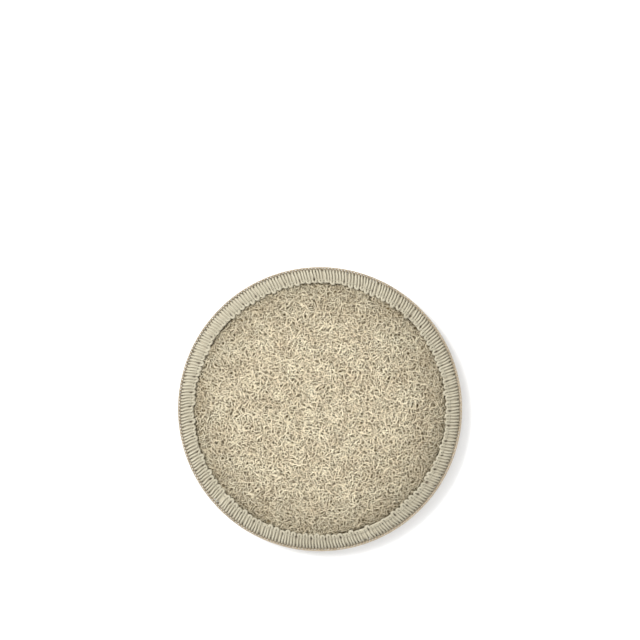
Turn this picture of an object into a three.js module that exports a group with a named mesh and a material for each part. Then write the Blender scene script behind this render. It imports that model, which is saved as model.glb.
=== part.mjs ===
// A round bath pad of natural loofah. The washing side is a mat of dried gourd fibre with a raised
// net, the back is cotton terry cloth, and cotton wadding fills the space between them. A cotton
// tape closes the edge, and thick cotton yarn is overlocked over the tape, with the loops of the
// stitches locked together in a chain along the rim.
// Millimetres, +Z up. The pad lies on its cloth: the origin is the middle of the flat spot that it
// rests on, and the loofah faces up.
import * as THREE from "three";

// Driving dimensions
const PAD_DIAMETER = 140;
const PAD_THICKNESS = 20;
const SEAM_HEIGHT = 7; // the middle of the sewn edge, above the surface that the pad lies on
const REST_RADIUS = 44; // the cloth is flat inside this radius
const GAP = 0.3; // between layers that lie on each other

const LOOFAH_MIDDLE = 4;
const LOOFAH_EDGE = 1.2;
const CLOTH_MIDDLE = 1.4;
const CLOTH_EDGE = 0.8;
const TAPE_THICKNESS = 0.5;
const YARN_RIDGE = 0.85; // height of a stitch over the tape
const YARN_VALLEY = 0.4; // height between two stitches
const CHAIN_LINK = 1.6; // thickness of a chain link
const CHAIN_NECK = 1.0; // thickness between two links
const CHAIN_WAVE = 0.4; // how far the neck is drawn in towards the cloth

// Radii on the face, from the seam inwards
const STITCH_REACH = 62.6; // the tip of a stitch
const STITCH_NOTCH = 63.4; // the notch between two stitches
const STITCH_FOOT = 62.8;
const TAPE_REACH = 61.4;
const FACE_RADIUS = 61.2; // the mat and the cloth start to swell here
const NET_RADIUS = 60.5;
const WADDING_RADIUS = 59.5;

const NET_RELIEF = 1.5; // the highest strand of the net over the pores
const LOWEST_STRAND = 0.6; // the lowest strand, as a share of NET_RELIEF
const PORE_COUNT = 380;
const PORE_SHARE = 0.7; // the open width of a pore, as a share of its cell
const PORE_SCATTER = 0.42; // how far a pore strays from an even pattern, as a share of its cell
const SHORTEST_STRAND = 0.25; // junctions closer than this are one
const SEED = 20;

const TURNED_COLUMNS = 60;
const HIDDEN_COLUMNS = 40; // the wadding and the tape
const STITCH_COLUMNS = 200; // a ridge and a valley for each of 100 stitches
const TURN = 2 * Math.PI;

// Heights that follow from the driving dimensions, measured from the middle of the seam
const STACK_HALF = (LOOFAH_EDGE + GAP + CLOTH_EDGE) / 2;
const TAPE_INSIDE = STACK_HALF + GAP;
const TAPE_OUTSIDE = TAPE_INSIDE + TAPE_THICKNESS;
const YARN_INSIDE = TAPE_OUTSIDE + GAP;
const FOLD_RADIUS = PAD_DIAMETER / 2 - CHAIN_LINK - GAP - YARN_INSIDE - YARN_RIDGE;

const FACE_RIM = SEAM_HEIGHT + STACK_HALF;
const FACE_CROWN = PAD_THICKNESS - NET_RELIEF;
const BACK_RIM = SEAM_HEIGHT - STACK_HALF;

// Radii at which the curved layers have a ring of vertices
const LAYER_RADII = [WADDING_RADIUS, 54, 46, 34, 18];

const share = (radius) => Math.min(radius / FACE_RADIUS, 1);

// The top of the mat at the bottom of its pores: a full pillow that drops to the seam
const faceHeight = (radius) =>
  FACE_RIM + (FACE_CROWN - FACE_RIM) * (1 - share(radius) ** 3) ** 0.9;

const faceUnderside = (radius) =>
  faceHeight(radius) - LOOFAH_EDGE - (LOOFAH_MIDDLE - LOOFAH_EDGE) * (1 - share(radius) ** 4);

// The underside of the cloth: flat in the middle, and drawn up to the seam
const backHeight = (radius) => {
  const drawn = Math.max(0, (radius - REST_RADIUS) / (FACE_RADIUS - REST_RADIUS));
  return BACK_RIM * Math.min(drawn, 1) ** 1.7;
};

const clothTop = (radius) =>
  backHeight(radius) + CLOTH_EDGE + (CLOTH_MIDDLE - CLOTH_EDGE) * (1 - share(radius) ** 4);

function seededRandom(seed) {
  let state = seed;
  return () => {
    state = (state * 1664525 + 1013904223) % 4294967296;
    return state / 4294967296;
  };
}

// A solid turned about Z from a profile of [radius, height] points
function turned(profile, columns) {
  const points = profile.map(([radius, height]) => new THREE.Vector2(radius, height));
  return new THREE.LatheGeometry(points, columns).rotateX(Math.PI / 2);
}

// A ring turned from one closed profile on even columns and from another on odd ones
function ribbedRing(ridge, valley, columns) {
  const geometry = turned([...ridge, ridge[0]], columns);
  const position = geometry.getAttribute("position");
  const perColumn = ridge.length + 1;
  for (let i = 0; i < position.count; i++) {
    const column = Math.floor(i / perColumn);
    if (column % 2 === 0) continue;
    const [radius, height] = valley[(i % perColumn) % ridge.length];
    const angle = (column * TURN) / columns;
    position.setXYZ(i, radius * Math.sin(angle), -radius * Math.cos(angle), height);
  }
  geometry.computeVertexNormals();
  return geometry;
}

// A path round the sewn edge at a distance from its middle, from the face over the rim to the back
function foldPath(distance, reach) {
  const round = [90, 45, 0, -45, -90].map((degrees) => {
    const angle = THREE.MathUtils.degToRad(degrees);
    return [FOLD_RADIUS + distance * Math.cos(angle), SEAM_HEIGHT + distance * Math.sin(angle)];
  });
  return [[reach, SEAM_HEIGHT + distance], ...round, [reach, SEAM_HEIGHT - distance]];
}

// Middles of the pores: a sunflower pattern, each one moved a little at random
function poreMiddles(random) {
  const golden = Math.PI * (3 - Math.sqrt(5));
  const spacing = NET_RADIUS * Math.sqrt(Math.PI / PORE_COUNT);
  return Array.from({ length: PORE_COUNT }, (_, i) => {
    const even = NET_RADIUS * Math.sqrt((i + 0.5) / PORE_COUNT);
    const x = even * Math.cos(i * golden) + (random() - 0.5) * 2 * PORE_SCATTER * spacing;
    const y = even * Math.sin(i * golden) + (random() - 0.5) * 2 * PORE_SCATTER * spacing;
    const radius = Math.hypot(x, y);
    const kept = Math.min(radius, NET_RADIUS - spacing / 3) / radius;
    return [kept * x, kept * y];
  });
}

// The part of a convex polygon that is nearer to one pore's middle than to another's
function nearerPart(polygon, own, other) {
  const side = ([x, y]) =>
    (other[0] - own[0]) * (x - (own[0] + other[0]) / 2) +
    (other[1] - own[1]) * (y - (own[1] + other[1]) / 2);
  const kept = [];
  polygon.forEach((a, i) => {
    const b = polygon[(i + 1) % polygon.length];
    const [sideA, sideB] = [side(a), side(b)];
    if (sideA <= 0) kept.push(a);
    if (sideA < 0 !== sideB < 0) {
      const t = sideA / (sideA - sideB);
      kept.push([a[0] + t * (b[0] - a[0]), a[1] + t * (b[1] - a[1])]);
    }
  });
  return kept;
}

// Collects the vertices and triangles of one closed surface
class Surface {
  positions = [];
  triangles = [];

  vertex(x, y, z) {
    this.positions.push(x, y, z);
    return this.positions.length / 3 - 1;
  }

  angle(i) {
    return (Math.atan2(this.positions[3 * i + 1], this.positions[3 * i]) + TURN) % TURN;
  }

  ring(radius, height) {
    return Array.from({ length: TURNED_COLUMNS }, (_, i) => {
      const angle = (i * TURN) / TURNED_COLUMNS;
      return this.vertex(radius * Math.cos(angle), radius * Math.sin(angle), height);
    });
  }

  // Joins two loops of vertices, each in order of angle, that may differ in number
  join(from, to) {
    const at = (loop, i) => this.angle(loop[i % loop.length]) + (i >= loop.length ? TURN : 0);
    let [i, j] = [0, 0];
    while (i < from.length || j < to.length) {
      const [a, b] = [from[i % from.length], to[j % to.length]];
      if (j === to.length || (i < from.length && at(from, i + 1) <= at(to, j + 1))) {
        this.triangles.push(a, b, from[++i % from.length]);
      } else {
        this.triangles.push(a, b, to[++j % to.length]);
      }
    }
  }

  // The vertices round the one open edge of the surface, in order of angle
  openEdge() {
    const followers = new Set();
    const edges = this.triangles.map((a, i) => {
      return [a, this.triangles[i % 3 === 2 ? i - 2 : i + 1]];
    });
    edges.forEach(([a, b]) => followers.add(`${a} ${b}`));
    return edges
      .filter(([a, b]) => !followers.has(`${b} ${a}`))
      .map(([a]) => a)
      .sort((a, b) => this.angle(a) - this.angle(b));
  }

  close(loop, height) {
    const middle = this.vertex(0, 0, height);
    loop.forEach((a, i) => this.triangles.push(a, middle, loop[(i + 1) % loop.length]));
  }

  geometry() {
    const geometry = new THREE.BufferGeometry();
    geometry.setAttribute("position", new THREE.Float32BufferAttribute(this.positions, 3));
    geometry.setIndex(this.triangles);
    geometry.computeVertexNormals();
    return geometry;
  }
}

// The net: strands meet at junctions, and between them the surface dips into the pores
function addNet(surface, random) {
  const step = TURN / TURNED_COLUMNS;
  const outline = Array.from({ length: TURNED_COLUMNS }, (_, i) => {
    return [NET_RADIUS * Math.cos(i * step), NET_RADIUS * Math.sin(i * step)];
  });
  const sideDistance = NET_RADIUS * Math.cos(step / 2);
  const junctions = [];
  const junctionAt = ([x, y]) => {
    const near = junctions.find((j) => Math.hypot(j.x - x, j.y - y) < SHORTEST_STRAND);
    if (near) return near;
    const radius = Math.hypot(x, y);
    const fromMidSide = ((Math.atan2(y, x) + TURN) % step) - step / 2;
    const onEdge = radius * Math.cos(fromMidSide) > sideDistance - 0.001;
    const rise = onEdge ? 0 : NET_RELIEF * (LOWEST_STRAND + (1 - LOWEST_STRAND) * random());
    junctions.push({ x, y, vertex: surface.vertex(x, y, faceHeight(radius) + rise) });
    return junctions.at(-1);
  };

  const middles = poreMiddles(random);
  for (const own of middles) {
    const polygon = middles.reduce(
      (left, other) => (other === own ? left : nearerPart(left, own, other)),
      outline,
    );
    const corners = polygon.map(junctionAt).filter((j, i, all) => j !== all.at(i - 1));
    const middleX = corners.reduce((sum, j) => sum + j.x, 0) / corners.length;
    const middleY = corners.reduce((sum, j) => sum + j.y, 0) / corners.length;
    const floor = corners.map((j) => {
      const x = middleX + PORE_SHARE * (j.x - middleX);
      const y = middleY + PORE_SHARE * (j.y - middleY);
      return surface.vertex(x, y, faceHeight(Math.hypot(x, y)));
    });
    corners.forEach((j, i) => {
      const next = (i + 1) % corners.length;
      surface.triangles.push(j.vertex, corners[next].vertex, floor[next]);
      surface.triangles.push(j.vertex, floor[next], floor[i]);
      if (i > 0 && next > 0) surface.triangles.push(floor[0], floor[i], floor[next]);
    });
  }
}

// The loofah mat: the net on top, a thin flat edge inside the seam, and a hollow underside that
// fits the wadding
function loofahMat() {
  const surface = new Surface();
  addNet(surface, seededRandom(SEED));
  const rings = [
    surface.openEdge(),
    surface.ring(FACE_RADIUS, FACE_RIM),
    surface.ring(FOLD_RADIUS, FACE_RIM),
    surface.ring(FOLD_RADIUS, FACE_RIM - LOOFAH_EDGE),
    surface.ring(FACE_RADIUS, FACE_RIM - LOOFAH_EDGE),
    ...LAYER_RADII.map((radius) => surface.ring(radius, faceUnderside(radius))),
  ];
  rings.slice(1).forEach((ring, i) => surface.join(rings[i], ring));
  surface.close(rings.at(-1), faceUnderside(0));
  return surface.geometry();
}

function cottonWadding() {
  const outwards = [0, ...LAYER_RADII.toReversed()];
  const lower = outwards.map((radius) => [radius, clothTop(radius) + GAP]);
  const upper = outwards.toReversed().map((radius) => [radius, faceUnderside(radius) - GAP]);
  return turned([...lower, ...upper], HIDDEN_COLUMNS);
}

function terryBack() {
  const radii = [REST_RADIUS, 50, 56, FACE_RADIUS];
  const lower = radii.map((radius) => [radius, backHeight(radius)]);
  const upper = radii.toReversed().map((radius) => [radius, clothTop(radius)]);
  const edge = [
    [FOLD_RADIUS, BACK_RIM],
    [FOLD_RADIUS, BACK_RIM + CLOTH_EDGE],
  ];
  return turned([[0, 0], ...lower, ...edge, ...upper, [0, clothTop(0)]], TURNED_COLUMNS);
}

function edgeTape() {
  const outside = foldPath(TAPE_OUTSIDE, TAPE_REACH).toReversed();
  const inside = foldPath(TAPE_INSIDE, TAPE_REACH);
  return turned([...outside, ...inside, outside[0]], HIDDEN_COLUMNS);
}

function overlockStitches() {
  const inside = foldPath(YARN_INSIDE, STITCH_FOOT);
  const ridge = foldPath(YARN_INSIDE + YARN_RIDGE, STITCH_REACH).toReversed();
  const valley = foldPath(YARN_INSIDE + YARN_VALLEY, STITCH_NOTCH).toReversed();
  return ribbedRing([...ridge, ...inside], [...valley, ...inside], STITCH_COLUMNS);
}

function edgeChain() {
  const middle = (PAD_DIAMETER - CHAIN_LINK) / 2;
  const section = (centre, thickness) =>
    [0, 72, 144, 216, 288].map((degrees) => {
      const angle = THREE.MathUtils.degToRad(degrees);
      const radius = thickness / 2;
      return [centre + radius * Math.cos(angle), SEAM_HEIGHT + radius * Math.sin(angle)];
    });
  const link = section(middle, CHAIN_LINK);
  const neck = section(middle - CHAIN_WAVE, CHAIN_NECK);
  return ribbedRing(link, neck, STITCH_COLUMNS);
}

function cotton(color) {
  return new THREE.MeshStandardMaterial({ color, roughness: 0.92, metalness: 0 });
}

const pad = new THREE.Group();
const pieces = {
  loofah_mat: [
    loofahMat(),
    new THREE.MeshStandardMaterial({
      color: 0xdcceab,
      roughness: 0.85,
      metalness: 0,
      flatShading: true,
    }),
  ],
  cotton_wadding: [cottonWadding(), cotton(0xf1ede2)],
  terry_back: [terryBack(), cotton(0xe9e3d2)],
  edge_tape: [edgeTape(), cotton(0xe3dcc6)],
  overlock_stitches: [overlockStitches(), cotton(0xe8e2cd)],
  edge_chain: [edgeChain(), cotton(0xd9cdb1)],
};
for (const [name, [geometry, material]] of Object.entries(pieces)) {
  const mesh = new THREE.Mesh(geometry, material);
  mesh.name = name;
  pad.add(mesh);
}

export default pad;
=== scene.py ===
# %% [markdown]
# # A round bath pad of natural loofah
# The real pad is a slab of dried loofah gourd, pressed flat and sewn to a disc of terry cloth, with
# cotton wadding between them. A cotton tape closes the edge, and an overlock machine has wrapped
# thick cotton yarn over the tape. This lesson dresses a frame of plain solids, made beforehand at
# the real size, with the fibres, yarns and cloth that give the pad its look.

import math

import bpy
import numpy as np
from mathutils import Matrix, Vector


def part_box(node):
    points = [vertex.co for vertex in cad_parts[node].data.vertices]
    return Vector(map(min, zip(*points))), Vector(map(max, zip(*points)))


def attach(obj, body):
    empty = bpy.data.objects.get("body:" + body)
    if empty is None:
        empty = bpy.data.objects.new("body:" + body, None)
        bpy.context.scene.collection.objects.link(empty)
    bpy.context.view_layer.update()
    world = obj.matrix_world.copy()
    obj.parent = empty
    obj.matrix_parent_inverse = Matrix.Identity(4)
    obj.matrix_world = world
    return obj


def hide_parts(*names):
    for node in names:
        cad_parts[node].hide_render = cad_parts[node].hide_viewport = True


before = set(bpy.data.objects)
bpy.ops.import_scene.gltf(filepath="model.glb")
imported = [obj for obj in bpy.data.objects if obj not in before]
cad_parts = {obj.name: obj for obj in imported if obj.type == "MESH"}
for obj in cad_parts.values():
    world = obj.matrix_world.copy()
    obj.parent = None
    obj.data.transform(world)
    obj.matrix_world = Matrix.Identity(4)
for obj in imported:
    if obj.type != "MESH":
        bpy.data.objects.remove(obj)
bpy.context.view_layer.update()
print("nodes:", sorted(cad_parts))

# %% [markdown]
# ## Sizes that everything shares
# A sewn thing is a stack of layers, so each layer takes its size from the one beside it. The solids
# are the master: the radii and heights below are read from their boxes, and only small sizes such
# as the thickness of a yarn are given here, in millimetres. Reading them keeps the pad whole if the
# solids are ever made again at another size.

# %% Sizes
MM = 0.001
TURN = 2 * math.pi

mat_low, mat_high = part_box("loofah_mat")
chain_low, chain_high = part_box("edge_chain")
BACK_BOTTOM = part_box("terry_back")[0].z
TAPE_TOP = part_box("edge_tape")[1].z
WADDING_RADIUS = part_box("cotton_wadding")[1].x

SEAM_REACH = 3.8 * MM  # from the fold of the tape in to the round face
PAD_RADIUS = chain_high.x
FOLD_RADIUS = mat_high.x
FACE_RADIUS = FOLD_RADIUS - SEAM_REACH
REST_RADIUS = 44 * MM  # the flat spot that the pad lies on
SEAM_HEIGHT = (chain_low.z + chain_high.z) / 2
TAPE_OUTSIDE = TAPE_TOP - SEAM_HEIGHT
print(f"pad {2 * PAD_RADIUS / MM:.1f} mm across, seam {SEAM_HEIGHT / MM:.1f} mm up")

# %% The surfaces of the layers
LOOFAH_MIDDLE = 4 * MM
LOOFAH_EDGE = 2.1 * MM
CLOTH_MIDDLE = 1.4 * MM
CLOTH_EDGE = 0.8 * MM
THINNING_CURVE = 4

TOP_FIBRES = 1.5 * MM  # how far the top fibres stand above the middle of their layer
PILLOW_CURVE = 3
PILLOW_SHOULDER = 0.9
FACE_RIM = mat_low.z + LOOFAH_EDGE
FACE_CROWN = mat_high.z - TOP_FIBRES

BACK_RISE = 5.85 * MM  # how far the seam draws the cloth up
BACK_CURVE = 1.7


def from_middle(radius):
    """0 in the middle of the pad and 1 from the seam outwards."""
    return np.minimum(radius / FACE_RADIUS, 1)


def thinning(radius):
    """1 in the middle of the pad and 0 at the seam, where every layer is pressed thin."""
    return 1 - from_middle(radius) ** THINNING_CURVE


def drawn_up(radius):
    """0 on the flat spot of the back and 1 at the seam."""
    return np.clip((radius - REST_RADIUS) / (FACE_RADIUS - REST_RADIUS), 0, 1)


def face_height(radius):
    """The middle of the fibre layer: a full pillow that drops to the seam."""
    fullness = (1 - from_middle(radius) ** PILLOW_CURVE) ** PILLOW_SHOULDER
    return FACE_RIM + (FACE_CROWN - FACE_RIM) * fullness


def mat_underside(radius):
    """The underside of the loofah, on the wadding."""
    thickness = LOOFAH_EDGE + (LOOFAH_MIDDLE - LOOFAH_EDGE) * thinning(radius)
    return face_height(radius) - thickness


def back_height(radius):
    """The underside of the cloth: flat in the middle and drawn up to the seam."""
    return BACK_BOTTOM + BACK_RISE * drawn_up(radius) ** BACK_CURVE


def cloth_top(radius):
    """The upper side of the cloth, under the wadding."""
    return back_height(radius) + CLOTH_EDGE + (CLOTH_MIDDLE - CLOTH_EDGE) * thinning(radius)


print(f"the loofah's crown is {face_height(0) / MM:.1f} mm up")

# %% [markdown]
# ## Floor, light and camera
# The pad is shown from straight above, with its loofah face to the eye, on a pale floor that runs
# on past the picture. A large soft lamp at the upper left gives the fibres their shade, and the
# world fills the rest in. The camera comes first, because every later choice of thickness and
# colour is judged through it. It stands well back, so that the rim isn't distorted.

# %% Camera
PICTURE_SIDE = 640
MM_PER_PIXEL = 0.4915
PAD_MIDDLE_PIXEL = (320, 409)
CAMERA_DISTANCE = 0.9
SENSOR_WIDTH = 36

picture_width = PICTURE_SIDE * MM_PER_PIXEL * MM
lift = (PAD_MIDDLE_PIXEL[1] - PICTURE_SIDE / 2) * MM_PER_PIXEL * MM
camera_data = bpy.data.cameras.new("camera")
camera_data.sensor_width = SENSOR_WIDTH
camera_data.lens = SENSOR_WIDTH * CAMERA_DISTANCE / picture_width
camera = bpy.data.objects.new("camera", camera_data)
camera.location = (0, lift, SEAM_HEIGHT + CAMERA_DISTANCE)
bpy.context.scene.collection.objects.link(camera)
bpy.context.scene.camera = camera
print(f"lens {camera_data.lens:.0f} mm, picture {picture_width / MM:.0f} mm wide")


# %% Floor
def deselect_all():
    """An operator acts on all that is selected, so each piece starts from nothing."""
    for thing in bpy.context.selected_objects:
        thing.select_set(False)


FLOOR_SIDE = 40
FLOOR_TONE = 0.97
FLOOR_ROUGHNESS = 0.9

deselect_all()
bpy.ops.mesh.primitive_plane_add(size=FLOOR_SIDE)
floor = bpy.context.object
floor.name = "floor"

floor_paint = bpy.data.materials.new("floor_paint")
floor_paint.use_nodes = True
floor_shader = floor_paint.node_tree.nodes["Principled BSDF"]
floor_shader.inputs["Base Color"].default_value = (FLOOR_TONE, FLOOR_TONE, FLOOR_TONE, 1)
floor_shader.inputs["Roughness"].default_value = FLOOR_ROUGHNESS
floor.data.materials.append(floor_paint)
print(f"floor {FLOOR_SIDE} m wide")

# %% Light
WORLD_STRENGTH = 0.97
WHITE = (1, 1, 1, 1)


def soft_lamp(name, place, side, power):
    """A square area lamp that points at the pad."""
    lamp = bpy.data.lights.new(name, "AREA")
    lamp.size = side
    lamp.energy = power
    holder = bpy.data.objects.new(name, lamp)
    holder.location = place
    towards_pad = -holder.location.normalized()
    holder.rotation_euler = towards_pad.to_track_quat("-Z", "Y").to_euler()
    bpy.context.scene.collection.objects.link(holder)


soft_lamp("key_lamp", (-0.75, 0.55, 1.0), side=0.6, power=19)
soft_lamp("fill_lamp", (0.9, -0.3, 1.1), side=1.2, power=2)

world = bpy.data.worlds.new("studio")
world.use_nodes = True
world.node_tree.nodes["Background"].inputs["Color"].default_value = WHITE
world.node_tree.nodes["Background"].inputs["Strength"].default_value = WORLD_STRENGTH
bpy.context.scene.world = world

# Pale natural colours are shown as they are, without the greying of a film look
bpy.context.scene.view_settings.view_transform = "Standard"
print("lamps:", [light.name for light in bpy.data.lights])

# %% [markdown]
# ## Helpers for modelling by hand
# Three ways of working return all through this lesson. A layer of cloth is a profile spun about
# the pad's axis. A thread is a small ring of edges, extruded and turned step by step. What repeats
# is modelled once, and then copied to its places in one go, because thousands of duplicate
# operators would take minutes. Each copy gets a random number of its own, which the materials use.

# %% Spin a profile
MERGE_DISTANCE = 1e-6


def spun(name, profile, columns):
    """A closed solid: a point is extruded along a profile of (radius, height), then spun."""
    deselect_all()
    bpy.ops.mesh.primitive_plane_add(size=MM)
    piece = bpy.context.object
    piece.name = name
    bpy.ops.object.mode_set(mode="EDIT")
    bpy.ops.mesh.merge(type="CENTER")
    bpy.ops.transform.translate(value=(profile[0][0], 0, profile[0][1]))
    for here, there in zip(profile, profile[1:]):
        step = (there[0] - here[0], 0, there[1] - here[1])
        bpy.ops.mesh.extrude_region_move(TRANSFORM_OT_translate={"value": step})
    bpy.ops.mesh.select_all(action="SELECT")
    bpy.ops.mesh.spin(steps=columns, angle=TURN, center=(0, 0, 0), axis=(0, 0, 1))
    bpy.ops.mesh.select_all(action="SELECT")
    bpy.ops.mesh.remove_doubles(threshold=MERGE_DISTANCE)
    bpy.ops.mesh.normals_make_consistent(inside=False)
    bpy.ops.object.mode_set(mode="OBJECT")
    bpy.ops.object.shade_smooth()
    return piece


# %% Read and move the points of a mesh
def points_of(piece):
    """The places of a mesh's points, as rows of x, y, z."""
    points = np.empty(3 * len(piece.data.vertices))
    piece.data.vertices.foreach_get("co", points)
    return points.reshape(-1, 3)


def move_points(piece, points):
    """Puts a mesh's points at new places."""
    piece.data.vertices.foreach_set("co", points.ravel())
    piece.data.update()


def radius_of(points):
    """How far each point is from the pad's axis."""
    return np.hypot(points[..., 0], points[..., 1])


def angle_of(points):
    """How far round the pad each point is."""
    return np.arctan2(points[..., 1], points[..., 0])


def mark_painted_shade(piece, height):
    """Stores how far out each point lies, from 0, deep down, to 1, for the materials to use.
    They paint the deep tone where it is low, so it marks painted shade.
    """
    mark = piece.data.attributes.new("height", "FLOAT", "POINT")
    mark.data.foreach_set("value", np.clip(height, 0, 1))


def triangles(piece):
    """How many triangles the faces of a piece make."""
    return sum(len(face.vertices) - 2 for face in piece.data.polygons)


# %% Extrude a thread
def thread(name, path, widths, sides, flatness=1.0, twist=0.0, outward=(0, 0, 1)):
    """A closed thread with a width at each point of its path. It is extruded straight along X, a
    millimetre for each point, and then bent to the path. A flatness under 1 makes it oval, and
    twist turns the oval from point to point, as plied yarn does. Outward is the direction away
    from what the thread lies on, one for the whole path or one for each of its points. The UV map
    of the first ring is carried along, so it tells where round the thread a face lies."""
    deselect_all()
    bpy.ops.mesh.primitive_circle_add(
        vertices=sides, radius=widths[0] / 2, fill_type="NGON", rotation=(0, math.pi / 2, 0)
    )
    piece = bpy.context.object
    piece.name = name
    bpy.ops.object.transform_apply(location=True, rotation=True, scale=True)
    bpy.ops.object.mode_set(mode="EDIT")
    bpy.ops.mesh.select_all(action="SELECT")
    bpy.ops.transform.resize(value=(1, 1, flatness), center_override=(0, 0, 0))
    for i in range(1, len(path)):
        growth = widths[i] / widths[i - 1]
        bpy.ops.mesh.extrude_region_move(TRANSFORM_OT_translate={"value": (MM, 0, 0)})
        bpy.ops.transform.resize(value=(1, growth, growth), center_override=(0, 0, 0))
        bpy.ops.transform.rotate(value=twist, orient_axis="X", center_override=(0, 0, 0))
    bpy.ops.mesh.select_all(action="SELECT")
    bpy.ops.mesh.normals_make_consistent(inside=False)
    bpy.ops.object.mode_set(mode="OBJECT")
    bpy.ops.object.shade_smooth()
    bend(piece, np.array(path, float), np.array(outward, float))
    return piece


def bend(piece, path, outward):
    """Moves each ring of a straight thread to its point on the path, square to the path."""
    along = np.gradient(path, axis=0)
    along /= np.linalg.norm(along, axis=1)[:, None]
    side = np.cross(outward, along)
    side /= np.linalg.norm(side, axis=1)[:, None]
    up = np.cross(along, side)
    points = points_of(piece)
    ring = np.rint(points[:, 0] / MM).astype(int)
    move_points(piece, path[ring] + points[:, 1:2] * side[ring] + points[:, 2:] * up[ring])


# %% Random draws, and turns for the copies
rng = np.random.default_rng(11)


def turned_about_z(angles):
    """One 3 x 3 turn about the pad's axis for each angle."""
    turns = np.zeros((len(angles), 3, 3))
    turns[:, 0, 0] = turns[:, 1, 1] = np.cos(angles)
    turns[:, 1, 0] = np.sin(angles)
    turns[:, 0, 1] = -np.sin(angles)
    turns[:, 2, 2] = 1
    return turns


def tilted(angles):
    """One 3 x 3 turn about the X axis for each angle."""
    return turned_about_z(angles)[:, [2, 0, 1]][:, :, [2, 0, 1]]


# %% Copy a piece to many places
THREAD_MAP = "around"


def corners_of(mesh):
    """For each face corner of a mesh, its point and its place on the UV map that its primitive
    came with, and for each face its first corner."""
    corners = np.empty(len(mesh.loops), np.int32)
    mesh.loops.foreach_get("vertex_index", corners)
    pattern = np.empty(2 * len(mesh.loops), np.float32)
    mesh.uv_layers[0].data.foreach_get("uv", pattern)
    starts = np.empty(len(mesh.polygons), np.int32)
    mesh.polygons.foreach_get("loop_start", starts)
    return corners, pattern, starts


def copied(name, model, turns, places):
    """One piece that holds a copy of the model for each turn and place. The attribute 'chance'
    is a random number from 0 to 1, the same all over a copy."""
    points, count = points_of(model), len(places)
    corners, pattern, starts = corners_of(model.data)
    nth = np.arange(count, dtype=np.int32)[:, None]
    placed = np.einsum("nij,vj->nvi", turns, points) + places[:, None, :]
    mesh = bpy.data.meshes.new(name)
    mesh.vertices.add(count * len(points))
    mesh.loops.add(count * len(corners))
    mesh.polygons.add(count * len(starts))
    mesh.vertices.foreach_set("co", placed.ravel())
    mesh.loops.foreach_set("vertex_index", (corners + nth * len(points)).ravel())
    mesh.polygons.foreach_set("loop_start", (starts + nth * len(corners)).ravel())
    mesh.update(calc_edges=True)
    mesh.shade_smooth()
    mesh.uv_layers.new(name=THREAD_MAP).data.foreach_set("uv", np.tile(pattern, count))
    chance = mesh.attributes.new("chance", "FLOAT", "POINT")
    chance.data.foreach_set("value", np.repeat(rng.random(count), len(points)))
    piece = bpy.data.objects.new(name, mesh)
    bpy.context.scene.collection.objects.link(piece)
    return piece


def joined(name, parts):
    """Joins pieces into one."""
    deselect_all()
    for part in parts:
        part.select_set(True)
    bpy.context.view_layer.objects.active = parts[0]
    bpy.ops.object.join()
    parts[0].name = name
    return parts[0]


# %% [markdown]
# ## The loofah mat
# Loofah is the dried skeleton of a gourd: a felt of stiff, pale fibres that branch and cross, with
# dark pores about a millimetre wide. A bump map could fake it, but the rim and the pores would
# show that nothing is there. So the deep felt is a solid core, painted dark as shade, and over it
# lie thousands of real fibres. A few dozen fibres are modelled, each a thread that wanders and
# dives at both ends, and they are copied, turned and mixed until no pattern shows.

# %% Model the fibres
FIBRE_KINDS = 36
FIBRE_SIDES = 3
FIBRE_POINTS = 4
LENGTHS_IN_MM = (2.4, 5)
WIDTHS_IN_MM = (0.25, 0.5)
CURL_SPREAD = 0.45
WANDER_RANGE = (0.1, 0.4)
WANDER_WAVES = (2.5, 4.5)
FIBRE_DIVE = 0.6 * MM
DIVE_CURVE = 3
FIBRE_RIPPLE = 0.12 * MM
RIPPLE_WAVES = 4
END_TAPER = 0.45
TAPER_CURVE = 4


def fibre(number):
    """A fibre that wanders sideways and dives into the felt at both ends."""
    length = rng.uniform(*LENGTHS_IN_MM) * MM
    width = rng.uniform(*WIDTHS_IN_MM) * MM
    at = np.linspace(-1, 1, FIBRE_POINTS)
    curl = rng.normal(0, CURL_SPREAD)
    wander = rng.uniform(*WANDER_RANGE)
    waves = rng.uniform(*WANDER_WAVES)
    heading = curl * at + wander * np.sin(waves * at + rng.uniform(0, TURN))
    step = length / (FIBRE_POINTS - 1)
    x = np.cumsum(np.cos(heading)) * step
    y = np.cumsum(np.sin(heading)) * step
    ripple = FIBRE_RIPPLE * np.sin(RIPPLE_WAVES * at + rng.uniform(0, TURN))
    z = -FIBRE_DIVE * np.abs(at) ** DIVE_CURVE + ripple
    path = np.stack([x - x.mean(), y - y.mean(), z], axis=1)
    widths = width * (1 - END_TAPER * np.abs(at) ** TAPER_CURVE)
    return thread(f"fibre_{number}", path, widths, FIBRE_SIDES)


fibres = [fibre(number) for number in range(FIBRE_KINDS)]
print(f"{FIBRE_KINDS} fibres of {triangles(fibres[0])} triangles")

# %% Spread spots over the pad
GOLDEN_ANGLE = math.pi * (3 - math.sqrt(5))


def sunflower(count, reach, scatter):
    """Points spread evenly over a disc, as seeds are on a sunflower, and scattered a little."""
    nth = np.arange(count)
    out, around = reach * np.sqrt((nth + 0.5) / count), nth * GOLDEN_ANGLE
    spots = np.stack([out * np.cos(around), out * np.sin(around), 0 * out], axis=1)
    spots[:, :2] += rng.normal(0, scatter, (count, 2))
    return spots


# %% Shape and shade the felt
FIBRE_REACH = FOLD_RADIUS - 1.5 * MM
SWELL_DEPTH = 0.16 * MM
SWELL_WAVES = ((33, 0.4, 1.0), (24, 1.9, 2.6), (15, 2.9, 0.3), (11, 1.2, 4))
TAPE_PRESS = 1.15 * MM
WADDING_CLEARANCE = 0.1 * MM
DARK_DEPTH = 1.35 * MM
BRIGHT_HEIGHT = 0.2 * MM
# Painted shade on the fibres towards the seam
EDGE_SHADE = 0.46
EDGE_SHADE_CURVE = 5


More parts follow.
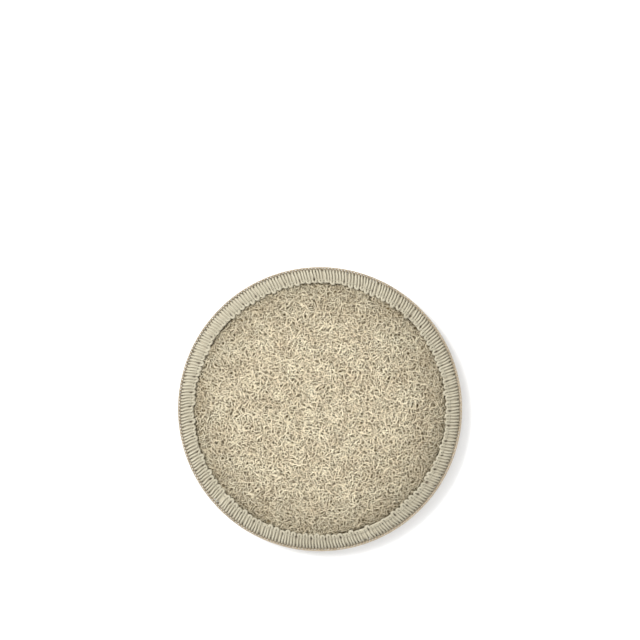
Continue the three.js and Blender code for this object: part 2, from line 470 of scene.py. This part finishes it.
def swell(x, y):
    """Slow ups and downs of the mat, as pressed gourd has. Each wave has a length in
    millimetres, a heading and a start."""
    waves = 0
    for length, heading, start in SWELL_WAVES:
        across = x * math.cos(heading) + y * math.sin(heading)
        waves = waves + np.sin(TURN * across / (length * MM) + start)
    return SWELL_DEPTH * waves


def under_tape(radius):
    """How far the tape presses the felt down, from a millimetre outside the face."""
    return TAPE_PRESS * np.clip((radius - FACE_RADIUS) / MM, 0, 1)


def lay_on_dome(piece):
    """Lifts flat fibres onto the pillow of the mat, and keeps their ends inside the seam. It marks
    painted shade as well: fibres that lie low and fibres near the seam get more of the deep tone.
    """
    points = points_of(piece)
    radius = radius_of(points)
    kept = np.minimum(radius, FIBRE_REACH)
    points[:, :2] *= (kept / np.maximum(radius, MM))[:, None]
    surface = face_height(kept) + swell(points[:, 0], points[:, 1])
    points[:, 2] += surface - under_tape(kept)
    points[:, 2] = np.maximum(points[:, 2], mat_underside(kept) + WADDING_CLEARANCE)
    move_points(piece, points)
    # Painted shade: the lower a fibre lies, the more of the deep tone it takes, and EDGE_SHADE
    # darkens the fibres towards the seam
    raised = (points[:, 2] - surface + DARK_DEPTH) / (DARK_DEPTH + BRIGHT_HEIGHT)
    edge_shade_share = from_middle(kept) ** EDGE_SHADE_CURVE
    mark_painted_shade(piece, raised.clip(0, 1) * (1 - EDGE_SHADE * edge_shade_share))


# %% Scatter the fibres
FIBRES_PER_LAYER = 9900
LAYER_HEIGHTS = {
    "loofah_deep": -0.9 * MM,
    "loofah_middle": -0.35 * MM,
    "loofah_top": 0.2 * MM,
}
LAYER_SPREAD = 0.3 * MM
FIBRE_SCATTER = 0.4 * MM
FIBRE_SCALES = (0.8, 1.25)


def fibre_layer(name, height):
    """Copies of all the fibres, shuffled over an even spread of spots on the round face."""
    spots = rng.permutation(sunflower(FIBRES_PER_LAYER, FIBRE_REACH, FIBRE_SCATTER))
    spots[:, 2] = height + rng.normal(0, LAYER_SPREAD, FIBRES_PER_LAYER)
    parts = []
    for number, model in enumerate(fibres):
        places = spots[number::FIBRE_KINDS]
        turns = turned_about_z(TURN * rng.random(len(places)))
        turns *= rng.uniform(*FIBRE_SCALES, len(places))[:, None, None]
        parts.append(copied("part", model, turns, places))
    layer = joined(name, parts)
    lay_on_dome(layer)
    return layer


layers = [fibre_layer(name, height) for name, height in LAYER_HEIGHTS.items()]
for model in fibres:
    bpy.data.objects.remove(model)
for layer in layers:
    print(layer.name, triangles(layer), "triangles")

# %% [markdown]
# ## The core of the mat
# Between the fibres the eye sees deeper felt, which hardly any light reaches. A dome is spun for it
# that follows the underside of the mat, and its upper side is roughened by moving its points, so
# that no pore ends on a smooth floor. The hidden underside needs only a quarter of the rings.

# %% Spin the core
CORE_DEPTH = 1.9 * MM
CORE_THICKNESS = 1.2 * MM
CORE_RINGS = 40
CORE_COLUMNS = 150
CORE_ROUGHNESS = 0.25 * MM
TOP_TOLERANCE = 0.1 * MM


def core_top(radius):
    """The upper side of the core, never thinner than its least thickness."""
    deep = face_height(radius) - CORE_DEPTH
    return np.maximum(deep, mat_underside(radius) + CORE_THICKNESS) - under_tape(radius)


inwards = np.linspace(FIBRE_REACH, 0, CORE_RINGS)
core_profile = [(0, mat_underside(0.0))]
core_profile += [(r, mat_underside(r)) for r in inwards[::-4][1:]]
core_profile += [(r, core_top(r)) for r in inwards]
core = spun("loofah_core", core_profile, CORE_COLUMNS)

points = points_of(core)
radius = radius_of(points)
on_top = points[:, 2] > core_top(radius) - TOP_TOLERANCE
points[on_top, 2] += CORE_ROUGHNESS * rng.normal(0, 1, on_top.sum()).clip(-1, 1)
move_points(core, points)
# The whole core takes the deep tone: painted shade for the felt that little light reaches
mark_painted_shade(core, 0 * radius)
print("core:", triangles(core), "triangles")

# %% [markdown]
# ## The cotton wadding
# The wadding is a loose sheet of cotton that fills the pad. Nobody sees it, but the pad isn't
# hollow, so it gets its own soft body: a spun lens with lumps, a little clear of the layers that
# it lies between.

# %% Spin the wadding
WADDING_GAP = 0.3 * MM
WADDING_RINGS = 22
WADDING_COLUMNS = 72
WADDING_SHARE = 0.93  # of the room between the layers
LUMP_SHARE = 0.05
LUMPS_ALONG_X = 310  # in radians for each metre
LUMPS_ALONG_Y = 270

wadding_radii = np.linspace(0, WADDING_RADIUS, WADDING_RINGS)
wadding_profile = [(r, cloth_top(r) + WADDING_GAP) for r in wadding_radii]
wadding_profile += [(r, mat_underside(r) - WADDING_GAP) for r in wadding_radii[::-1]]
wadding = spun("wadding", wadding_profile, WADDING_COLUMNS)

points = points_of(wadding)
radius = radius_of(points)
lumps = np.sin(points[:, 0] * LUMPS_ALONG_X + 1) * np.sin(points[:, 1] * LUMPS_ALONG_Y + 2)
middle = (cloth_top(radius) + mat_underside(radius)) / 2
points[:, 2] = middle + (points[:, 2] - middle) * (WADDING_SHARE + LUMP_SHARE * lumps)
move_points(wadding, points)
mark_painted_shade(wadding, 1 + 0 * radius)
print("wadding:", triangles(wadding), "triangles")

# %% [markdown]
# ## The terry back
# Terry is a woven ground with loops of yarn standing on it. Where the pad lies, the loops are
# pressed flat, and towards the seam the cloth is gathered into small puckers. The ground is spun
# and puckered, and one loop is modelled and copied all over it. Particle hair would give thinner
# loops, but hair isn't a mesh and would be lost when the pad is handed on.

# %% Spin the ground cloth
LOOP_HEIGHT = 1.15 * MM
LOOP_AT_SEAM = 0.45
PUCKERS = 46
PUCKER_DEPTH = 0.3 * MM
PUCKER_DRIFT = 1.4
DRIFT_WAVES = 5
SMALL_PUCKERS = 31
SMALL_PUCKER_SHARE = 0.5
BACK_RINGS = 34
BACK_COLUMNS = 276
BACK_REACH = FOLD_RADIUS - 1.0 * MM


def puckered(points):
    """How far the back is drawn in by the seam: nothing in the middle, folds at the rim."""
    angle = angle_of(points)
    drift = PUCKER_DRIFT * np.sin(DRIFT_WAVES * angle)
    folds = np.sin(PUCKERS * angle + drift)
    folds += SMALL_PUCKER_SHARE * np.sin(SMALL_PUCKERS * angle + 2)
    return PUCKER_DEPTH * drawn_up(radius_of(points)) ** 2 * folds


def loop_share(radius):
    """The share of its height that a loop keeps: all in the middle, and less at the seam."""
    return LOOP_AT_SEAM + (1 - LOOP_AT_SEAM) * thinning(radius)


def ground_underside(radius):
    """The side of the ground cloth that the loops stand on."""
    return back_height(radius) + LOOP_HEIGHT * loop_share(radius)


ground_radii = np.linspace(0, BACK_REACH, BACK_RINGS)
ground_profile = [(r, ground_underside(r)) for r in ground_radii]
ground_profile += [(r, cloth_top(r)) for r in ground_radii[::-1]]
ground = spun("terry_ground", ground_profile, BACK_COLUMNS)
points = points_of(ground)
points[:, 2] += puckered(points)
move_points(ground, points)
# The whole ground cloth takes the deep tone: painted shade between the loops
mark_painted_shade(ground, 0 * points[:, 2])
print("ground cloth:", triangles(ground), "triangles")

# %% Model a loop
LOOP_YARN = 0.58 * MM
LOOP_WIDTH = 1.15 * MM
LOOP_ROOT = 0.25 * MM  # how far its ends reach into the ground cloth
LOOP_POINTS = 5
LOOP_SIDES = 3

around = np.linspace(0, math.pi, LOOP_POINTS)
loop_drop = LOOP_HEIGHT - LOOP_YARN / 2 + LOOP_ROOT
loop_path = np.stack(
    [
        -LOOP_WIDTH / 2 * np.cos(around),
        0 * around,
        LOOP_ROOT - loop_drop * np.sin(around),
    ],
    axis=1,
)
loop_outward = np.stack([-np.cos(around), 0 * around, -np.sin(around)], axis=1)
loop = thread("loop", loop_path, [LOOP_YARN] * LOOP_POINTS, LOOP_SIDES, outward=loop_outward)
print("one loop:", triangles(loop), "triangles")

# %% Sew the loops in
LOOP_COUNT = 7600
LOOP_SCATTER = 0.3 * MM
LOOP_HEADING = 0.6
LOOP_SWING = 0.9
LOOP_TILT = 0.55
LOOP_SCALES = (0.9, 1.25)
ROOT_SHADE_LEVEL = 0.2

places = sunflower(LOOP_COUNT, FACE_RADIUS, LOOP_SCATTER)
turns = turned_about_z(rng.normal(LOOP_HEADING, LOOP_SWING, LOOP_COUNT))
turns = turns @ tilted(rng.normal(0, LOOP_TILT, LOOP_COUNT))
turns *= rng.uniform(*LOOP_SCALES, LOOP_COUNT)[:, None, None]
root_radius = np.repeat(radius_of(places), len(loop.data.vertices))
loops = copied("terry_loops", loop, turns, places)
bpy.data.objects.remove(loop)

points = points_of(loops)
root = ground_underside(root_radius) + puckered(points)
points[:, 2] = np.maximum(points[:, 2] * loop_share(root_radius) + root, BACK_BOTTOM)
move_points(loops, points)
# Painted shade: the loops get darker towards their roots in the ground cloth
mark_painted_shade(loops, ROOT_SHADE_LEVEL + (root - points[:, 2]) / LOOP_HEIGHT)
print("loops:", triangles(loops), "triangles")

# %% [markdown]
# ## The edge tape
# A strip of woven cotton is folded round the rim and closes it. Hardly more of it shows than what
# lies in the gaps of the stitches, which draw it into fine ripples. It is a C-shaped profile, spun
# about the axis of the pad, with its points moved up and down between the stitches. The needle
# holes come first, because the tape is dented there and the yarn opens round them.

# %% Place the needle holes
STITCH_PAIRS = 135
NEEDLE_STITCHES = 54
NEEDLE_RADIUS = FOLD_RADIUS - 1.45 * MM
HOLE_SIZE = 0.82 * MM
LEAN = 0.9 * MM
LEAN_SPREAD = 0.35 * MM
LEAN_WAVES = 3


def lean_at(angle):
    """The angle by which the stitches lean over where they reach the needle holes."""
    return (LEAN_SPREAD * np.sin(LEAN_WAVES * angle + 1) - LEAN) / FOLD_RADIUS


def needle_holes(radius, angle):
    """For points of the rim, how far round the nearest needle hole is, and a mark that rises to
    1 in the middle of a hole."""
    steps = (angle - lean_at(angle)) * NEEDLE_STITCHES / TURN
    from_hole = (steps - np.rint(steps)) * TURN * NEEDLE_RADIUS / NEEDLE_STITCHES
    return from_hole, np.exp(-(from_hole**2 + (radius - NEEDLE_RADIUS) ** 2) / HOLE_SIZE**2)


print(f"needle holes {TURN * NEEDLE_RADIUS / NEEDLE_STITCHES / MM:.1f} mm apart")

# %% Spin the tape
TAPE_THICKNESS = 0.5 * MM
TAPE_REACH = FACE_RADIUS + 0.9 * MM
TAPE_LIFT = 0.35 * MM
LIFT_CURVE = 1.5
TAPE_RIPPLE = 0.08 * MM
FLAT_REACH = NEEDLE_RADIUS + 0.7 * MM
FOLD_POINTS = 9
RIM_STRETCH = 1.4


def fold(distance):
    """A profile round the rim from the face to the back, at a distance from the middle of the
    seam. Its ends lie flat on the face and the back, and the inner end on the face is lifted. The
    rim is stretched outwards a little, because the yarn draws it into an oval."""
    flat = np.array([TAPE_REACH, (TAPE_REACH + NEEDLE_RADIUS) / 2, NEEDLE_RADIUS, FLAT_REACH])
    rise = TAPE_LIFT * ((FOLD_RADIUS - flat) / (FOLD_RADIUS - TAPE_REACH)) ** LIFT_CURVE
    face = [(r, SEAM_HEIGHT + distance + up) for r, up in zip(flat, rise)]
    arc = [
        (FOLD_RADIUS + RIM_STRETCH * distance * math.cos(a), SEAM_HEIGHT + distance * math.sin(a))
        for a in np.linspace(math.pi / 2, -math.pi / 2, FOLD_POINTS)
    ]
    back = [(r, SEAM_HEIGHT - distance) for r in flat[::-1]]
    return face + arc + back


outside = fold(TAPE_OUTSIDE)
inside = fold(TAPE_OUTSIDE - TAPE_THICKNESS)
tape = spun("tape", outside + inside[::-1] + outside[:1], 4 * STITCH_PAIRS)
print("tape:", triangles(tape), "triangles")

# %% Ripple and dent the tape
HOLE_DEPTH = 0.5 * MM
RIM_SHADE_LEVEL = 0.85
TAPE_HOLE_SHADE = 1.4

points = points_of(tape)
radius, angle = radius_of(points), angle_of(points)
on_flap = np.clip((FOLD_RADIUS - radius) / (FOLD_RADIUS - TAPE_REACH), 0, 1)
points[:, 2] += TAPE_RIPPLE * np.sin(2 * STITCH_PAIRS * angle) * on_flap
hole = needle_holes(radius, angle)[1]
points[:, 2] -= HOLE_DEPTH * hole * np.sign(points[:, 2] - SEAM_HEIGHT)
move_points(tape, points)
# Painted shade: the tape takes more of the very dark deep tone towards the fold, in the gaps under
# the yarn, and most in the needle holes
mark_painted_shade(tape, (RIM_SHADE_LEVEL + (1 - RIM_SHADE_LEVEL) * on_flap) * (1 - TAPE_HOLE_SHADE * hole))
print(f"ripples {2 * TAPE_RIPPLE / MM:.2f} mm high")

# %% [markdown]
# ## The overlocked yarn
# The ribs of the rim are legs of stitches: a thick cotton yarn comes over the edge, runs in to the
# loofah, turns round and runs back, again and again. The turns make the scalloped inner border,
# and each pair of legs leans, wobbles and reaches a little differently, which is what makes the
# rim look sewn and not moulded. One such hairpin is modelled as a twisted oval thread. Its copies
# go round the face, and once more round the back, turned over, with their legs between those of
# the face.

# %% Model a hairpin of yarn
YARN_WIDTH = 1.2 * MM
YARN_SIDES = 5
YARN_FLATNESS = 0.83
YARN_TWIST = 0.6
YARN_DISTANCE = TAPE_OUTSIDE + 0.48 * MM
TURN_RADIUS = FOLD_RADIUS - 2.4 * MM
HALF_STEP = math.pi * FOLD_RADIUS / (2 * STITCH_PAIRS)
NEEDLE_PRESS = 0.2 * MM
TURN_RISE = 0.25 * MM
TURN_TOP = 0.2 * MM


def over_rim(degrees):
    """A point of a leg where it bends over the edge of the pad."""
    a = math.radians(degrees)
    out = RIM_STRETCH * YARN_DISTANCE * math.cos(a)
    return FOLD_RADIUS + out, HALF_STEP, YARN_DISTANCE * math.sin(a)


def round_turn(degrees):
    """A point where the yarn turns back at the edge of the loofah."""
    a = math.radians(degrees)
    inner = TURN_RADIUS - HALF_STEP * math.sin(a)
    return inner, HALF_STEP * math.cos(a), YARN_DISTANCE + TURN_TOP


leg = [over_rim(degrees) for degrees in (4, 25, 47, 69, 92)]
leg += [
    (NEEDLE_RADIUS, HALF_STEP, YARN_DISTANCE - NEEDLE_PRESS),
    (TURN_RADIUS, HALF_STEP, YARN_DISTANCE + TURN_RISE),
]
turning = [round_turn(degrees) for degrees in (45, 90, 135)]
hairpin_path = np.array(leg + turning + [(x, -y, z) for x, y, z in leg[::-1]])
hairpin_outward = hairpin_path * (1, 0, 1) - (FOLD_RADIUS, 0, 0)
hairpin_outward[:, 0] = np.maximum(hairpin_outward[:, 0], 0)
hairpin_path[:, 2] += SEAM_HEIGHT

# Shares of the yarn's width: over the rim, then tight at the needle line and loose in the turn
to_middle = [1.08] * 5 + [0.98, 1.2, 1.2, 1.15]
hairpin = thread(
    "hairpin",
    hairpin_path,
    [YARN_WIDTH * share for share in to_middle + to_middle[-2::-1]],
    YARN_SIDES,
    flatness=YARN_FLATNESS,
    twist=YARN_TWIST,
    outward=hairpin_outward,
)
print("one hairpin:", triangles(hairpin), "triangles")

# %% Sew round the rim
HAIRPINS = 2 * STITCH_PAIRS
SPACING_SPREAD = 0.05

pair_angles = TURN * np.arange(HAIRPINS) / STITCH_PAIRS
pair_angles[STITCH_PAIRS:] += math.pi / HAIRPINS
pair_angles += rng.normal(0, SPACING_SPREAD, HAIRPINS) * TURN / STITCH_PAIRS
turns = turned_about_z(pair_angles)
turns[STITCH_PAIRS:] = turns[STITCH_PAIRS:] @ np.diag((1, -1, -1))
places = np.zeros((HAIRPINS, 3))
places[STITCH_PAIRS:, 2] = 2 * SEAM_HEIGHT
yarn = copied("overlock_yarn", hairpin, turns, places)
bpy.data.objects.remove(hairpin)
print("yarn:", triangles(yarn), "triangles")

# %% Vary the reach and the lean
REACH_SPREAD = 0.3 * MM
REACH_LIMIT = 1.2
REACH_WAVE = 0.2 * MM
REACH_WAVES = 7
INNER_LIMIT = 1.5
LEAN_CHANCE = 0.15 * MM
WOBBLE = 0.1 * MM
WOBBLE_LENGTH = 1.7 * MM
HOLE_OPENING = 0.4 * MM
HOLE_EDGE = 0.3 * MM

points = points_of(yarn).reshape(HAIRPINS, -1, 3)
radius, angle = radius_of(points), angle_of(points)
inner = np.clip((FOLD_RADIUS - radius) / (FOLD_RADIUS - TURN_RADIUS), 0, INNER_LIMIT)
from_rim = (PAD_RADIUS - radius) / (PAD_RADIUS - NEEDLE_RADIUS)
reach = REACH_SPREAD * rng.normal(0, 1, HAIRPINS).clip(-REACH_LIMIT, REACH_LIMIT)
reach += REACH_WAVE * np.sin(REACH_WAVES * pair_angles)
lean = lean_at(pair_angles) + LEAN_CHANCE * rng.normal(0, 1, HAIRPINS) / FOLD_RADIUS
angle += lean[:, None] * from_rim
wobble_start = rng.uniform(0, TURN, (HAIRPINS, 1))
angle += WOBBLE * np.sin(TURN * radius / WOBBLE_LENGTH + wobble_start) / FOLD_RADIUS
radius -= reach[:, None] * inner
from_hole, hole = needle_holes(radius, angle)
angle += HOLE_OPENING * hole * np.tanh(from_hole / HOLE_EDGE) / NEEDLE_RADIUS
points[..., 0] = radius * np.cos(angle)
points[..., 1] = radius * np.sin(angle)
move_points(yarn, points.reshape(-1, 3))
print(f"the turns reach in by {reach.min() / MM:.1f} to {reach.max() / MM:.1f} mm more")

# %% Shade the yarn
SEAM_SHADE = 1.2 * MM
YARN_TONE = 0.52
HOLE_SHADE = 0.7

beyond_fold = np.maximum(radius - FOLD_RADIUS, 0) / RIM_STRETCH
above_seam = points[..., 2] - SEAM_HEIGHT
outwards = (np.hypot(beyond_fold, above_seam) - YARN_DISTANCE) / YARN_WIDTH + YARN_TONE
shade = np.minimum(outwards, np.abs(above_seam) / SEAM_SHADE)
# Painted shade: the lower sides of the yarn, the yarn near the seam and the yarn round the needle
# holes take the deep tone
mark_painted_shade(yarn, (shade * (1 - HOLE_SHADE * hole)).ravel())
print(f"mean mark of the yarn {shade.clip(0, 1).mean():.2f}")

# %% [markdown]
# ## The chain along the rim
# Where the face yarn and the back yarn meet, each loop is caught in the next, and that makes a
# chain, which shows as a double line outside the ribs. One link starts as a torus. It is drawn
# long, pinched at one end and tipped, so that each link comes out of the one before.

# %% Model a link
LINK_COUNT = 270
LINK_SIZE = 0.6 * MM
LINK_YARN = 0.25 * MM
LINK_SEGMENTS = 12
LINK_SIDES = 5
LINK_STRETCH = 2.0
LINK_PINCH = 0.32
LINK_TIP = math.radians(13)
CHAIN_TILT = math.radians(38)
CHAIN_RADIUS = PAD_RADIUS - 0.85 * MM
CHAIN_RISE = 0.95 * MM

deselect_all()
bpy.ops.mesh.primitive_torus_add(
    major_segments=LINK_SEGMENTS,
    minor_segments=LINK_SIDES,
    major_radius=LINK_SIZE,
    minor_radius=LINK_YARN,
    generate_uvs=True,
)
link = bpy.context.object
bpy.ops.object.mode_set(mode="EDIT")
bpy.ops.mesh.select_all(action="SELECT")
bpy.ops.transform.resize(value=(1, LINK_STRETCH, 1), center_override=(0, 0, 0))
bpy.ops.transform.rotate(value=LINK_TIP, orient_axis="X", center_override=(0, 0, 0))
bpy.ops.object.mode_set(mode="OBJECT")
points = points_of(link)
points[:, 0] *= 1 - LINK_PINCH * points[:, 1] / (LINK_STRETCH * LINK_SIZE)
move_points(link, points)
bpy.ops.object.mode_set(mode="EDIT")
bpy.ops.transform.rotate(
    value=math.pi / 2 - CHAIN_TILT, orient_axis="Y", center_override=(0, 0, 0)
)
bpy.ops.transform.translate(value=(CHAIN_RADIUS, 0, SEAM_HEIGHT + CHAIN_RISE))
bpy.ops.object.mode_set(mode="OBJECT")
print("one link:", triangles(link), "triangles")

# %% Lay the chain
spacing = np.arange(LINK_COUNT) + rng.normal(0, SPACING_SPREAD, LINK_COUNT)
link_turns = turned_about_z(TURN * spacing / LINK_COUNT)
chain = copied("edge_chain_yarn", link, link_turns, np.zeros((LINK_COUNT, 3)))
bpy.data.objects.remove(link)
mark_painted_shade(chain, np.ones(len(chain.data.vertices)))
print("chain:", triangles(chain), "triangles")

# %% [markdown]
# ## The needle thread
# A fine thread holds the yarn down near its turns. It dips into a needle hole about every seven
# millimetres, and there the rim shows a dark dot: real shadow in the hole, deepened by painted
# shade on the tape, the yarn and the dipping ends of the thread. One stitch of it is a thread with
# its ends bent down.

# %% Sew the needle line
NEEDLE_THREAD = 0.55 * MM
NEEDLE_SIDES = 5
NEEDLE_POINTS = 8
NEEDLE_SHARE = 0.86  # of the way from hole to hole
NEEDLE_DIP = 1.4 * MM
DIP_CURVE = 7
NEEDLE_TOP = SEAM_HEIGHT + YARN_DISTANCE + 0.35 * MM

at = np.linspace(-1, 1, NEEDLE_POINTS)
half_length = NEEDLE_SHARE * math.pi * NEEDLE_RADIUS / NEEDLE_STITCHES
needle_path = np.stack(
    [
        np.sqrt(NEEDLE_RADIUS**2 - (half_length * at) ** 2),
        half_length * at,
        NEEDLE_TOP - NEEDLE_DIP * np.abs(at) ** DIP_CURVE,
    ],
    axis=1,
)
needle_widths = [NEEDLE_THREAD] * NEEDLE_POINTS
needle_stitch = thread("needle_stitch", needle_path, needle_widths, NEEDLE_SIDES)
angles = TURN * (np.arange(NEEDLE_STITCHES) + 0.5) / NEEDLE_STITCHES
needle_turns = turned_about_z(angles + lean_at(angles))
needle_line = copied("needle_line", needle_stitch, needle_turns, np.zeros((NEEDLE_STITCHES, 3)))
bpy.data.objects.remove(needle_stitch)
points = points_of(needle_line)
# The ends where the thread dips take the deep tone: painted shade in the needle holes
mark_painted_shade(needle_line, 1 - (NEEDLE_TOP - points[:, 2]) / NEEDLE_DIP)
print("needle thread:", triangles(needle_line), "triangles")

# %% [markdown]
# ## Finishes
# Every layer is plant fibre, so all the finishes are matte and differ in colour and grain. Each
# one is a mix of two natural tones: the random number of a copy chooses the tone of that fibre or
# stitch, a slow noise adds patches, and a fine noise roughens the surface. Natural colours are
# never even, and three scales of variation are what makes them believable. A third tone, darker
# on most layers, takes over where the mark of height is low, because hardly any light gets down
# there. Fibres also have streaks along them, and yarn has grooves between its strands. Both come
# from the UV map, which changes fast round a thread and slowly or not at all along it.


# %% Short ways to add nodes
class Recipe:
    """The nodes of one finish. Most methods add a node and give back the socket to use next."""

    def __init__(self, name):
        self.material = bpy.data.materials.new(name)
        self.material.use_nodes = True
        self.tree = self.material.node_tree
        self.shader = self.tree.nodes["Principled BSDF"]

    def fill(self, node, values):
        """Links each value to a socket of a node, or sets it there if it is a plain number."""
        for socket, value in values.items():
            if isinstance(value, bpy.types.NodeSocket):
                self.tree.links.new(value, node.inputs[socket])
            else:
                node.inputs[socket].default_value = value

    def node(self, kind, values):
        node = self.tree.nodes.new("ShaderNode" + kind)
        self.fill(node, values)
        return node

    def noise(self, place, scale, detail):
        values = {"Vector": place, "Scale": scale, "Detail": detail}
        return self.node("TexNoise", values).outputs["Fac"]

    def maths(self, operation, *values):
        node = self.node("Math", {})
        node.operation = operation
        self.fill(node, dict(enumerate(values)))
        return node.outputs["Value"]

    def mixed(self, factor, first, second, data_type="RGBA"):
        node = self.node("Mix", {})
        node.data_type = data_type
        self.fill(node, {"Factor": factor, "A": first, "B": second})
        return node.outputs["Result"]

    def mark(self, attribute):
        node = self.node("Attribute", {})
        node.attribute_name = attribute
        return node.outputs["Fac"]

    def bumped(self, height, depth, normal=None):
        values = {"Strength": BUMP_STRENGTH, "Distance": depth, "Height": height}
        if normal is not None:
            values["Normal"] = normal
        return self.node("Bump", values).outputs["Normal"]


# %% Colour, streaks and strands
BUMP_STRENGTH = 0.7
PATCH_DETAIL = 3
PATCH_CONTRAST = 2.2
PATCH_LEVEL = (1 - PATCH_CONTRAST) / 2
CHANCE_SHARE = 0.35
STREAK_SCALE = (0.35, 7, 1)
STREAK_DETAIL = 3
STREAK_DEPTH = 0.15 * MM
STRAND_SLANT = 0.5
STRAND_HEIGHT = 0.25


def two_tones(recipe, place, patch_size, dark, light):
    """A colour between two tones, by slow patches and by the random number of each copy."""
    slow = recipe.noise(place, 1 / patch_size, PATCH_DETAIL)
    patches = recipe.maths("MULTIPLY_ADD", slow, PATCH_CONTRAST, PATCH_LEVEL)
    tone = recipe.mixed(CHANCE_SHARE, patches, recipe.mark("chance"), data_type="FLOAT")
    return recipe.mixed(tone, dark, light)


def streaked(recipe, around):
    """Bumps of fine streaks along a thread."""
    stretch = recipe.node("Mapping", {"Vector": around, "Scale": STREAK_SCALE})
    return recipe.bumped(recipe.noise(stretch.outputs["Vector"], 1.0, STREAK_DETAIL), STREAK_DEPTH)


def strands(recipe, around):
    """The strands of a yarn: 0 in the grooves between them and highest in the middle of one."""
    split = recipe.node("SeparateXYZ", {"Vector": around})
    slanted = recipe.maths("MULTIPLY_ADD", split.outputs["X"], STRAND_SLANT, split.outputs["Y"])
    return recipe.maths("PINGPONG", slanted, STRAND_HEIGHT)


# %% Put a finish together
MATTE = {"Roughness": 0.85, "Specular IOR Level": 0.25, "Sheen Weight": 0.1}
PLY_DEPTH = 0.8 * MM
GROOVE_SHARPNESS = 5
GROOVE_SHADE = 0.5
GRAIN_SIZE = 0.3 * MM
GRAIN_DETAIL = 4


def fibre_finish(name, tones, patch, grain, kind):
    """A matte finish in a deep, a dark and a light tone; the deep tone is painted shade, laid where
    the mark of height is low and in the grooves of yarn. Patch is the size of the patches and grain
    the depth of the fine bumps, both in millimetres. Kind is 'cloth', 'fibre', which has streaks
    along it, or 'yarn', which has strands too."""
    recipe = Recipe(name)
    recipe.fill(recipe.shader, MATTE)
    deep, dark, light = ((*tone, 1) for tone in tones)
    place = recipe.node("TexCoord", {}).outputs["Object"]
    colour = two_tones(recipe, place, patch * MM, dark, light)
    normal = None
    if kind != "cloth":
        thread_map = recipe.node("UVMap", {})
        thread_map.uv_map = THREAD_MAP
        around = thread_map.outputs["UV"]
        normal = streaked(recipe, around)
    if kind == "yarn":
        ply = strands(recipe, around)
        normal = recipe.bumped(ply, PLY_DEPTH, normal)
        # Painted shade in the grooves between the strands
        groove = recipe.maths("MULTIPLY_ADD", ply, GROOVE_SHARPNESS, GROOVE_SHADE)
        colour = recipe.mixed(groove, deep, colour)
    # Painted shade: the deep tone takes over where the mark of height is low
    colour = recipe.mixed(recipe.mark("height"), deep, colour)
    fine = recipe.noise(place, 1 / GRAIN_SIZE, GRAIN_DETAIL)
    normal = recipe.bumped(fine, grain * MM, normal)
    recipe.fill(recipe.shader, {"Base Color": colour, "Normal": normal})
    return recipe.material


# %% Mix the finishes
# Each finish: its deep tone, which is painted shade, its dark and light tones, the patch and grain
# in millimetres, and its kind
finishes = {
    "loofah": (((0.20, 0.155, 0.08), (0.73, 0.615, 0.43), (0.98, 0.905, 0.69)), 9, 0.05, "fibre"),
    "core": (((0.20, 0.155, 0.08), (0.40, 0.33, 0.2), (0.50, 0.42, 0.28)), 9, 0.3, "cloth"),
    "wadding": (((0.70, 0.66, 0.56), (0.80, 0.77, 0.69), (0.88, 0.86, 0.80)), 8, 0.2, "cloth"),
    "ground": (((0.54, 0.49, 0.38), (0.70, 0.65, 0.52), (0.86, 0.82, 0.71)), 12, 0.06, "cloth"),
    "terry": (((0.54, 0.48, 0.36), (0.80, 0.75, 0.61), (0.92, 0.88, 0.77)), 12, 0.06, "yarn"),
    "tape": (((0.10, 0.075, 0.05), (0.50, 0.455, 0.345), (0.62, 0.575, 0.45)), 5, 0.08, "cloth"),
    "yarn": (((0.40, 0.355, 0.265), (0.40, 0.365, 0.27), (0.49, 0.455, 0.35)), 6, 0.06, "yarn"),
    # The chain is the same yarn as the ribs in darker tones: painted shade along the outer edge
    "chain": (((0.22, 0.17, 0.11), (0.32, 0.26, 0.175), (0.48, 0.40, 0.29)), 6, 0.06, "yarn"),
}
made = {name: fibre_finish(name, *facts) for name, facts in finishes.items()}
print("finishes:", sorted(made))

# %% Give each piece its finish
# Each piece: its finish, its slot in the record, and the solid that it stands for
dressing = [
    *((layer, "loofah", "loofah", "loofah_mat") for layer in layers),
    (core, "core", "loofah", "loofah_mat"),
    (wadding, "wadding", "wadding", "cotton_wadding"),
    (ground, "ground", "terry", "terry_back"),
    (loops, "terry", "terry", "terry_back"),
    (tape, "tape", "tape", "edge_tape"),
    (yarn, "yarn", "yarn", "overlock_stitches"),
    (chain, "chain", "yarn", "edge_chain"),
    (needle_line, "yarn", "yarn", "overlock_stitches"),
]
for piece, finish, slot, node in dressing:
    piece.data.materials.clear()
    piece.data.materials.append(made[finish])
    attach(piece, "root")
    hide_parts(node)
print("all pieces:", sum(triangles(piece) for piece, *_ in dressing), "triangles")
